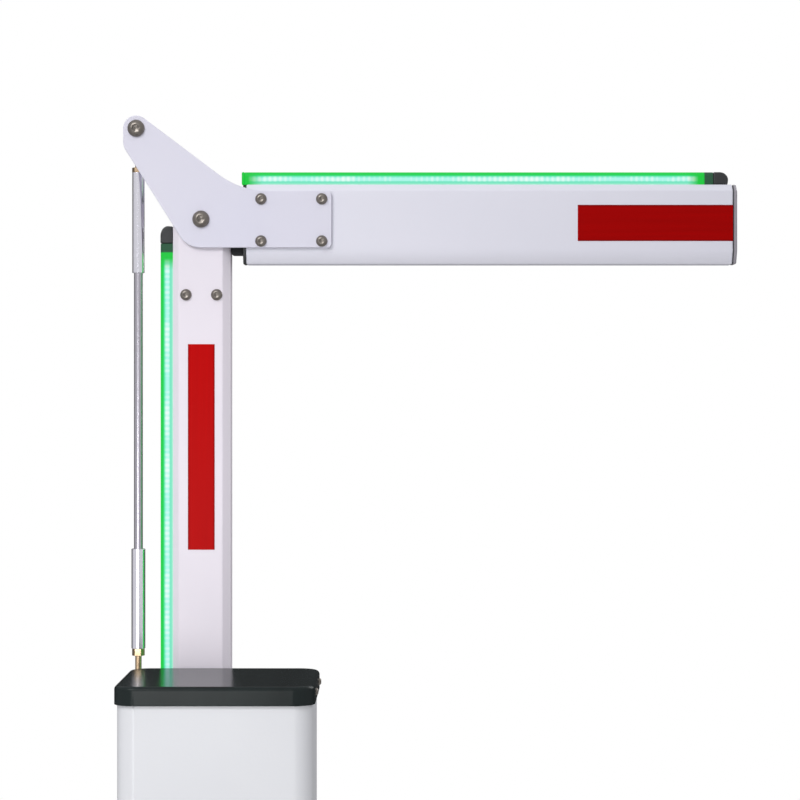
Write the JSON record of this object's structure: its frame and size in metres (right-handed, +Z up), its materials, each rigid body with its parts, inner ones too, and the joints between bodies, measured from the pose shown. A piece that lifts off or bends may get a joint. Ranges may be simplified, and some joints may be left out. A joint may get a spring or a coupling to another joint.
{
  "type": "parking barrier gate",
  "caption": "Parking barrier gate with a folding arm: a drive cabinet, a vertical boom, a level outer boom with lit edges, and a push rod that keeps it level.",
  "frame": {"origin": "on the floor at the centre of the cabinet's base bolt pattern", "axes": "+Z up, +X the way the outer boom points, +Y from the service door towards the boom"},
  "size_m": [0.7583, 0.2938, 1.641],
  "materials": {
    "white_powder_coat": "satin white powder coat on aluminium extrusion",
    "white_plate": "satin white powder coat on steel plate",
    "cabinet_white": "fine textured white powder coat on sheet steel",
    "gloss_black": "high gloss black enamel",
    "dark_steel": "black painted steel",
    "stainless": "stainless steel, machined",
    "zinc_steel": "bright zinc plated steel",
    "yellow_zinc": "yellow zinc plated steel",
    "cast_grey": "painted die cast aluminium",
    "motor_black": "black painted motor housing",
    "spring_steel": "oiled spring steel",
    "black_plastic": "moulded black plastic",
    "grey_plastic": "moulded grey plastic",
    "black_rubber": "moulded EPDM rubber",
    "bronze": "sintered bronze",
    "led_lens": "clear silicone lens over green LEDs",
    "led_board": "white LED circuit board",
    "red_tape": "prismatic red reflective film"
  },
  "bodies": {
    "cabinet": {"base_frame": "dark_steel", "cabinet_body": "cabinet_white", "top_cover": "gloss_black", "body_screws": "stainless", "side_vents": "black_plastic", "cable_gland": "black_plastic", "door_gasket": "black_rubber", "frame_hinges": "dark_steel", "inner_frame": "zinc_steel", "gearbox": "cast_grey", "drive_motor": "motor_black", "output_bearing": "cast_grey", "shaft_seal": "black_rubber", "wall_bolts": "stainless", "balance_spring": "spring_steel", "control_box": "grey_plastic", "rod_bracket": "white_plate", "rod_pin": "zinc_steel", "rod_pin_nut": "yellow_zinc"},
    "door": {"door_panel": "cabinet_white", "door_hinges": "dark_steel", "lock_housing": "zinc_steel"},
    "lock": {"lock_barrel": "zinc_steel", "lock_cam": "zinc_steel"},
    "lower_arm": {"main_shaft": "zinc_steel", "boom_hub": "dark_steel", "spring_collar": "dark_steel", "boom_cradle": "white_plate", "clamp_plate": "white_plate", "cradle_bolts": "stainless", "lower_boom": "white_powder_coat", "lower_boom_caps": "black_plastic", "hinge_insert": "zinc_steel", "pivot_bushes": "bronze", "insert_bolts": "stainless", "lower_led_lens": "led_lens", "lower_led_board": "led_board", "lower_led_caps": "black_plastic", "lower_tapes": "red_tape"},
    "upper_arm": {"upper_boom": "white_powder_coat", "upper_inner_cap": "black_plastic", "upper_outer_cap": "black_plastic", "fold_stop": "black_rubber", "front_hinge_plate": "white_plate", "rear_hinge_plate": "white_plate", "plate_bolts": "stainless", "plate_nuts": "stainless", "hinge_bolts": "stainless", "hinge_nuts": "stainless", "link_spacers": "zinc_steel", "upper_led_lens": "led_lens", "upper_led_board": "led_board", "upper_led_caps": "black_plastic", "upper_tapes": "red_tape"},
    "push_rod": {"rod_tube": "zinc_steel", "rod_sleeves": "white_plate", "rod_nuts": "yellow_zinc", "rod_ends": "yellow_zinc", "rod_balls": "stainless"}
  },
  "joints": [
    {"name": "boom_lift", "type": "hinge", "parent": "cabinet", "child": "lower_arm", "pos_m": [-0.032, 0.1475, 0.818], "axis": [0, 1, 0], "range_deg": [0, 90]},
    {"name": "arm_fold", "type": "hinge", "parent": "lower_arm", "child": "upper_arm", "pos_m": [-0.032, 0.1475, 1.513], "axis": [0, 1, 0], "range_deg": [-90, 0]},
    {"name": "rod_swing", "type": "hinge", "parent": "cabinet", "child": "push_rod", "pos_m": [-0.112, 0.1475, 0.93], "axis": [0, 1, 0], "range_deg": [0, 90]},
    {"name": "door_swing", "type": "hinge", "parent": "cabinet", "child": "door", "pos_m": [-0.088, -0.1018, 0.45], "axis": [0, 0, -1], "range_deg": [0, 110]},
    {"name": "lock_turn", "type": "hinge", "parent": "door", "child": "lock", "pos_m": [0.056, -0.1, 0.45], "axis": [0, 1, 0], "range_deg": [0, 90]}
  ],
  "couplings": [
    {"joint": "arm_fold", "follows": "boom_lift", "ratio": -1},
    {"joint": "rod_swing", "follows": "boom_lift", "ratio": 1}
  ]
}
